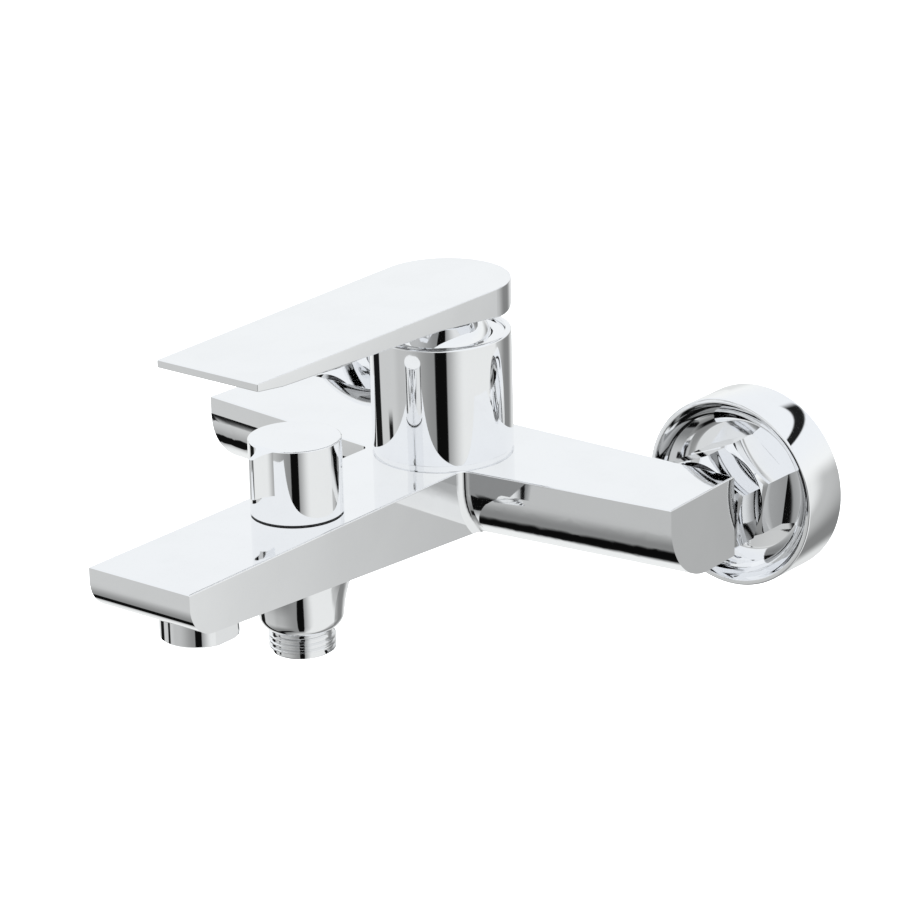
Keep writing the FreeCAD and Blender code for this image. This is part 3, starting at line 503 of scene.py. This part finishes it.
# ---------------------------------------------------------------- operators

class FAUCET_OT_finishes(bpy.types.Operator):
    """Make every finish and put it on the pieces that keep their designed shape"""

    bl_idname = "faucet.finishes"
    bl_label = "Finishes"

    def execute(self, context):
        make_finishes()
        for name, piece in NODES.items():
            dress(piece, SLOT_OF[name])
        dress(NODES["column_seat_ring"], "polished_chrome")
        return {"FINISHED"}


class FAUCET_OT_column(bpy.types.Operator):
    """Sleeve round the cartridge neck, and the cap ring that holds the lever's ball"""

    bl_idname = "faucet.column"
    bl_label = "Column"

    def execute(self, context):
        sleeve = lathed("column_sleeve_skin", [
            (20.0, 0.0), (22.45, 0.0, 0.12), (22.45, 38.2, 0.8), (20.45, 38.2, 0.15),
            (20.45, 34.1), (20.0, 34.1)])
        stands_for(settle(sleeve, (0.0, COLUMN_Y, SLEEVE_FOOT_Z)), "column_sleeve")
        cap = lathed("column_cap_ring_skin", [
            (17.038, 0.0), (18.8, 0.0), (18.8, -5.8), (19.78, -5.8), (19.78, 0.0),
            (20.35, 0.0), (20.35, 3.0, 0.35), (16.6, 3.0, 0.3), (16.38, 2.5)])
        stands_for(settle(cap, (0.0, COLUMN_Y, CAP_RING_Z)), "column_cap_ring")
        return {"FINISHED"}


class FAUCET_OT_lever(bpy.types.Operator):
    """Paddle lever with its polished edges"""

    bl_idname = "faucet.lever"
    bl_label = "Lever"

    def execute(self, context):
        from_design("lever_handle", context.scene.faucet_sizes.edge)
        return {"FINISHED"}


class FAUCET_OT_escutcheons(bpy.types.Operator):
    """Bowl-fronted wall flanges"""

    bl_idname = "faucet.escutcheons"
    bl_label = "Escutcheons"

    def execute(self, context):
        front = curved((28.94, -16.95), (19.84, -7.8), -13.0)
        back = curved((19.84, -6.6), (29.64, -14.35), 14.2)
        right = lathed("escutcheon_right_skin", [
            (29.64, 0.0, 0.2), (30.84, 0.0, 0.2), (30.84, -17.55, 0.55), (29.2, -17.55, 0.45),
            *front, (13.26, -7.8, 0.25), (13.26, -5.3), (14.46, -5.3), (14.46, -6.6),
            *back])
        left = copy_of(right, "escutcheon_left_skin")
        stands_for(settle(right, (INLET_X, 0.0, 0.0), along_y=True), "escutcheon_right")
        stands_for(settle(left, (-INLET_X, 0.0, 0.0), along_y=True), "escutcheon_left")
        return {"FINISHED"}


class FAUCET_OT_outlet(bpy.types.Operator):
    """Shower nipple with a running half-inch thread"""

    bl_idname = "faucet.outlet"
    bl_label = "Shower outlet"

    def execute(self, context):
        nipple = lathed("shower_outlet_nipple_skin", [
            (7.6, -7.5, 0.25), (9.43, -7.5, 0.5), (9.53, -6.6), (9.53, -0.3), (9.3, -0.05),
            (9.55, 0.05), (9.55, 8.4), (7.6, 8.4)])
        ridge = wire("thread", [
            (9.2, -7.32), (9.53, -7.25), (10.48, -6.64, 0.07), (10.48, -6.34, 0.07),
            (9.53, -5.73), (9.2, -5.66)])
        bpy.ops.object.mode_set(mode="OBJECT")
        steps = context.scene.faucet_sizes.thread_steps
        modify(ridge, "SCREW", screw_offset=THREAD_PITCH * MM, iterations=3, angle=FULL_TURN,
               steps=steps, render_steps=steps, use_merge_vertices=False)
        only(ridge)
        bpy.ops.object.mode_set(mode="EDIT")
        bpy.ops.mesh.select_all(action="DESELECT")
        # the thread's two open ends
        bpy.ops.mesh.select_non_manifold()
        bpy.ops.mesh.edge_face_add()
        tidy_skin()
        only(nipple)
        ridge.select_set(True)
        bpy.ops.object.join()
        stands_for(settle(nipple, (0.0, OUTLET_Y, OUTLET_FACE_Z)), "shower_outlet_nipple")
        return {"FINISHED"}


class FAUCET_OT_studio(bpy.types.Operator):
    """Pale floor, soft light all round with dark gaps between the lights, and the camera"""

    bl_idname = "faucet.studio"
    bl_label = "Studio"

    def execute(self, context):
        settings = context.scene.faucet_studio
        self.place_camera(context, settings)
        self.lay_floor(settings)
        self.light_room(context.scene)
        self.hang_softbox()
        context.scene.view_settings.view_transform = "Standard"
        return {"FINISHED"}

    def place_camera(self, context, settings):
        """Stand the camera off the middle of the faucet, with a slight shift of its own."""
        a, e, r = settings.azimuth, settings.elevation, settings.roll
        back = Vector((math.sin(a) * math.cos(e), -math.cos(a) * math.cos(e), math.sin(e)))
        right = Vector((math.cos(a), math.sin(a), 0.0))
        up = right.cross(-back)
        across = right * math.cos(r) + up * math.sin(r)
        upright = up * math.cos(r) - right * math.sin(r)
        target = Vector((0.0, COLUMN_Y, 15.0)) * MM
        shift = across * 0.002102 - upright * 0.001339
        spot = target + shift + back * settings.distance
        lens = bpy.data.cameras.new("studio_camera")
        lens.lens = settings.lens
        lens.sensor_width = 36.0
        lens.clip_start = 0.05
        lens.clip_end = 40.0
        camera = bpy.data.objects.new("studio_camera", lens)
        context.scene.collection.objects.link(camera)
        camera.matrix_world = Matrix(
            [[across[i], upright[i], back[i], spot[i]] for i in range(3)] + [[0, 0, 0, 1]])
        context.scene.camera = camera

    def lay_floor(self, settings):
        """White paper far below, which mirrors don't see."""
        deselect()
        bpy.ops.mesh.primitive_plane_add(size=14.0, location=(0.0, 0.0, -settings.floor_drop))
        floor = bpy.context.object
        floor.name = "studio_floor"
        floor.visible_glossy = False

        material = bpy.data.materials.new("floor_paper")
        shading = Shading(material)
        place = shading.node("ShaderNodeTexCoord", out=3)
        grain = shading.noise(place, 30.0, 3.0)
        paper = shading.node("ShaderNodeBsdfPrincipled", {}, {
            "Base Color": shading.mix(grain, (0.95, 0.95, 0.95, 1.0), (0.97, 0.97, 0.97, 1.0)),
            "Roughness": 0.9,
        })
        shading.end("ShaderNodeOutputMaterial", paper)
        floor.data.materials.append(material)

    def light_room(self, scene):
        """Light by direction: height above the horizon and bearing round the room, in degrees."""
        world = bpy.data.worlds.new("studio_room")
        scene.world = world
        shading = Shading(world)
        ray = shading.node("ShaderNodeTexCoord", out="Generated")
        parts = shading.tree.nodes.new("ShaderNodeSeparateXYZ")
        shading.tree.links.new(ray.socket, parts.inputs[0])
        x, y, z = [Field(shading, socket) for socket in parts.outputs]
        height = z.work_out("ARCSINE") * (180 / math.pi)
        # turned so that 0 is the side the camera stands on and +90 is to its left when facing it
        facing = math.radians(-50.657)
        ahead = x * math.cos(facing) + y * math.sin(facing)
        aside = y * math.cos(facing) - x * math.sin(facing)
        bearing = aside.work_out("ARCTAN2", ahead) * (180 / math.pi)

        level = sum(
            (bearing.step_up(start, end) * change for start, end, change in ROOM_STEPS),
            ROOM_LEVEL)
        above = height.step_up(-2.0, 12.0)
        level = level + above * (0.97 - level)
        below = (1 - height.step_up(-52.0, -26.0)) * bearing.band(-80.0, 60.0, 40.0)
        level = level + below * (0.24 - level)
        deep = 1 - height.step_up(-88.0, -68.0)
        level = level + deep * (0.6 - level)

        upright_gaps = (bearing.band(-0.5, 9.5, 2.5) + bearing.band(-127.5, 10.5, 2.5)
                        + bearing.band(-93.0, 4.5, 3.0) * height.band(-24.0, 3.6, 2.0))
        in_reach = height.band(-31.0, 35.0, 4.0)
        floor_gap = height.band(-62.0, 4.5, 4.0) * bearing.band(-90.0, 56.0, 30.0)
        wall_gap = height.band(35.0, 2.2, 1.0) * bearing.band(122.0, 26.0, 8.0)
        dark = (upright_gaps * in_reach + floor_gap + wall_gap).work_out("MINIMUM", 1.0)
        level = level * (1 - dark * 0.985)

        cool = height.step_up(5.0, 30.0)
        tint = shading.mix(cool, (0.985, 1.0, 0.995, 1.0), (0.945, 0.972, 1.0, 1.0))
        colour = shading.node(
            "ShaderNodeMix", {"data_type": "RGBA", "blend_type": "MULTIPLY"},
            {0: 1.0, 6: tint, 7: level}, out=2)
        light = shading.node("ShaderNodeBackground", {}, {"Color": colour, "Strength": 1.0})
        shading.end("ShaderNodeOutputWorld", light)

    def hang_softbox(self):
        """Wide lamp overhead for the dull pieces and the floor, which mirrors don't see."""
        lamp = bpy.data.lights.new("softbox", "AREA")
        lamp.shape = "RECTANGLE"
        lamp.size = lamp.size_y = 7.0
        lamp.energy = 420.0
        softbox = bpy.data.objects.new("softbox", lamp)
        softbox.location = (-0.6, 0.9, 3.2)
        bpy.context.scene.collection.objects.link(softbox)
        softbox.visible_glossy = False
        softbox.visible_camera = False


class FAUCET_PT_panel(bpy.types.Panel):
    """Sidebar panel that lists the steps of the build"""

    bl_label = "Bath faucet"
    bl_idname = "FAUCET_PT_panel"
    bl_space_type = "VIEW_3D"
    bl_region_type = "UI"
    bl_category = "Bath faucet"

    def draw(self, context):
        for step in STEPS:
            self.layout.operator(step.bl_idname)


STEPS = (
    FAUCET_OT_finishes,
    FAUCET_OT_column,
    FAUCET_OT_lever,
    FAUCET_OT_outlet,
    FAUCET_OT_escutcheons,
    FAUCET_OT_studio,
)
GROUPS = (FaucetSizes, FaucetColours, StudioSettings)


def register():
    for kind in (*GROUPS, *STEPS, FAUCET_PT_panel):
        bpy.utils.register_class(kind)
    bpy.types.Scene.faucet_sizes = PointerProperty(type=FaucetSizes)
    bpy.types.Scene.faucet_colours = PointerProperty(type=FaucetColours)
    bpy.types.Scene.faucet_studio = PointerProperty(type=StudioSettings)


def unregister():
    del bpy.types.Scene.faucet_studio
    del bpy.types.Scene.faucet_colours
    del bpy.types.Scene.faucet_sizes
    for kind in reversed((*GROUPS, *STEPS, FAUCET_PT_panel)):
        bpy.utils.unregister_class(kind)


def main():
    """Register the add-on and run its steps in order."""
    register()
    for step in STEPS:
        group, name = step.bl_idname.split(".")
        getattr(getattr(bpy.ops, group), name)()


if __name__ == "__main__":
    main()
